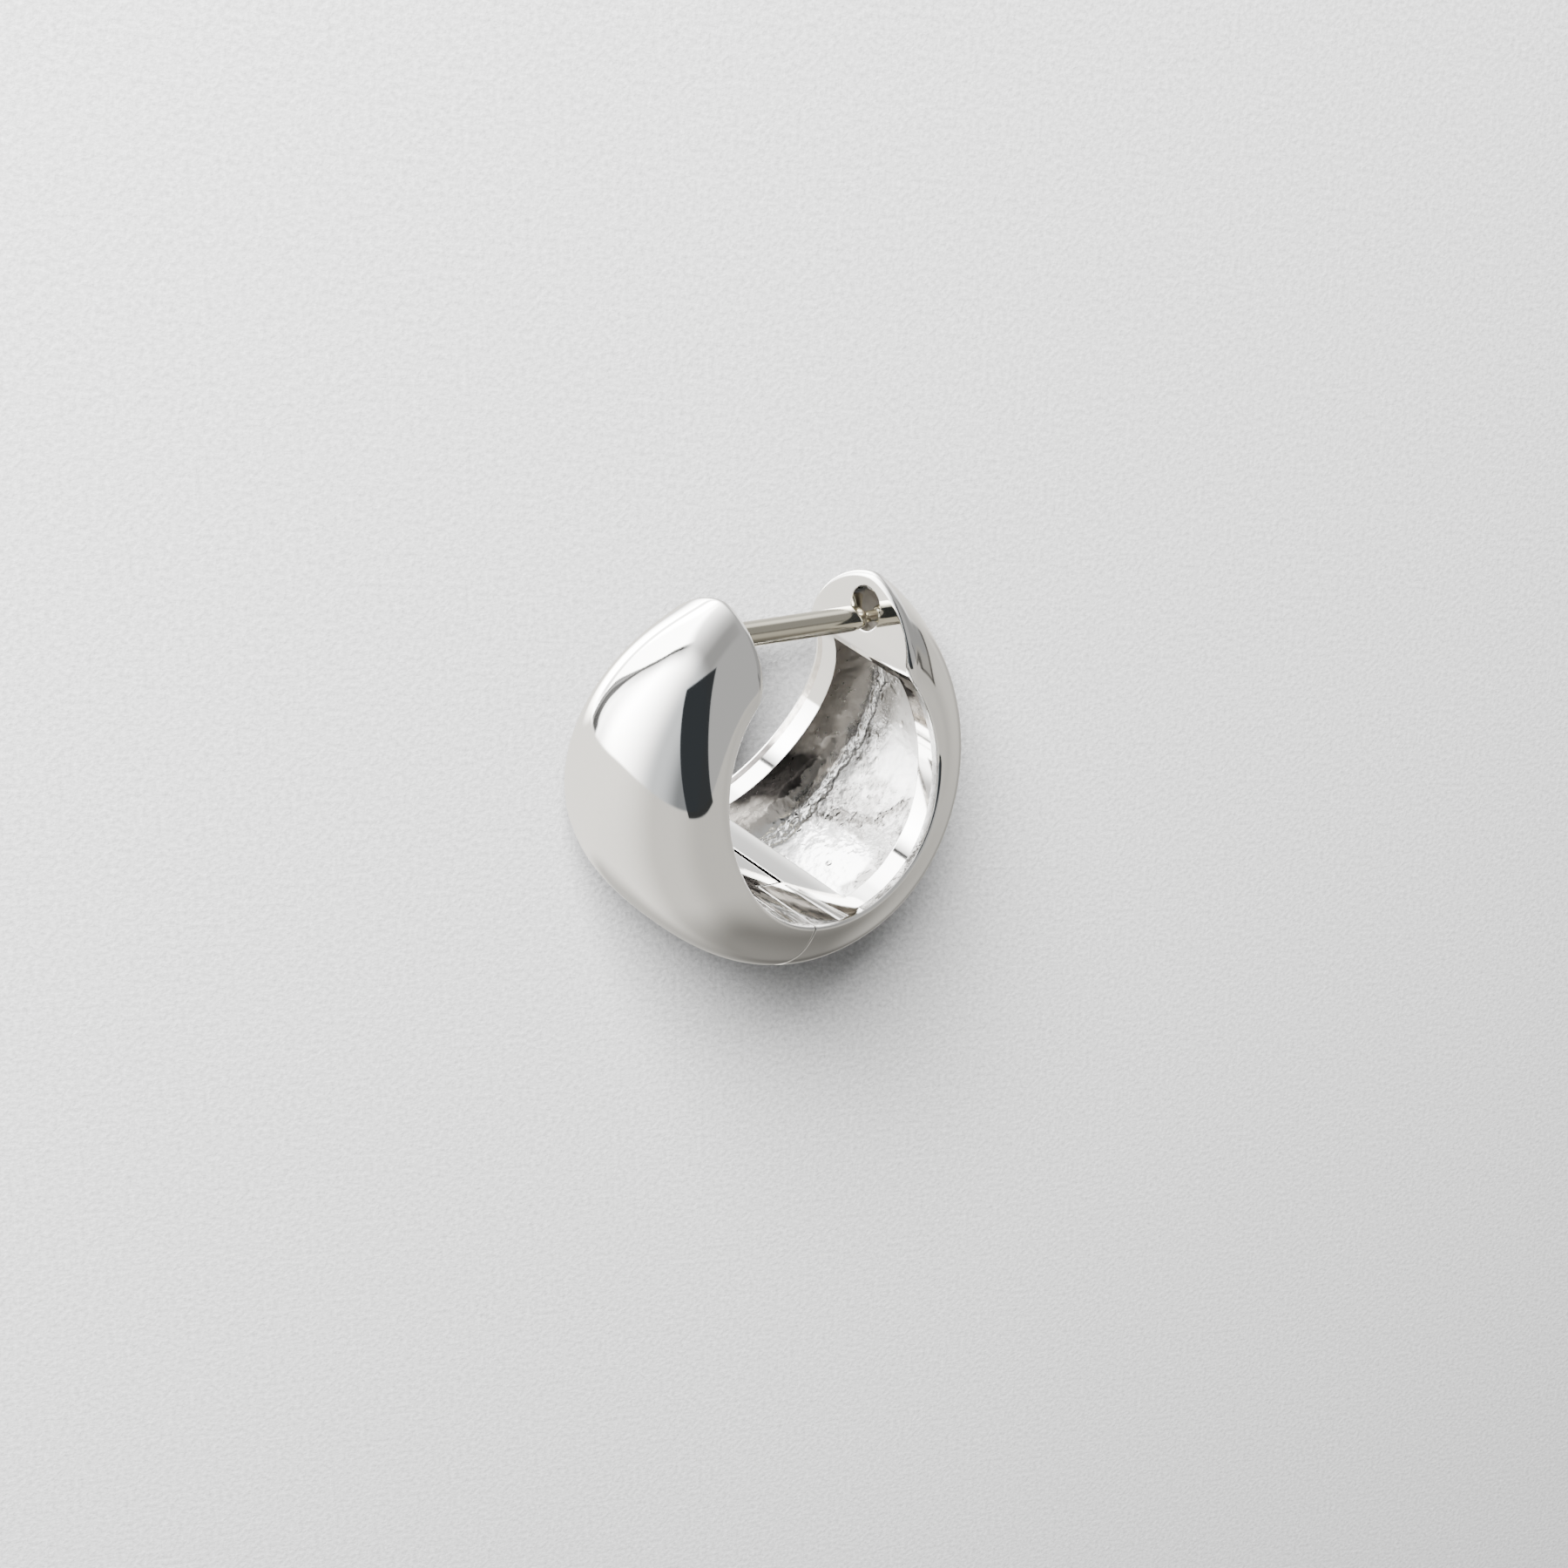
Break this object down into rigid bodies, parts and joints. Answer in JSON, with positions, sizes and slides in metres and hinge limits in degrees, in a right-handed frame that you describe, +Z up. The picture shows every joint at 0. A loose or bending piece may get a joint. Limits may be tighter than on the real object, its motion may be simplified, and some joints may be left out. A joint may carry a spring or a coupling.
{
  "type": "huggie earring",
  "caption": "Domed huggie earring with two hollow half shells, a bottom hinge and a straight ear post that closes into a slotted end plate.",
  "frame": {"origin": "middle of the bottom of the bounding box, on the surface that the earring lies on", "axes": "+X from the front shell to the back shell along the ear post; +Y towards the post and the open top of the hoop; +Z up from the surface, the hoop's plane leaning 14.1 degrees as the earring rests on its far side"},
  "size_m": [0.0142, 0.0138, 0.0095],
  "materials": {
    "silver": "mirror polish outside, bright as cast in the pockets",
    "gold": "pale polished gold",
    "silver_pin": "polished"
  },
  "bodies": {
    "back": {"back_shell": "silver", "hinge_pin": "silver_pin"},
    "front": {"front_shell": "silver", "ear_post": "gold"}
  },
  "joints": [
    {"name": "hinge", "type": "hinge", "parent": "back", "child": "front", "pos_m": [-0.00103, -0.00545, 0.00522], "axis": [0, 0.2436, 0.9699], "range_deg": [0, 45]}
  ]
}
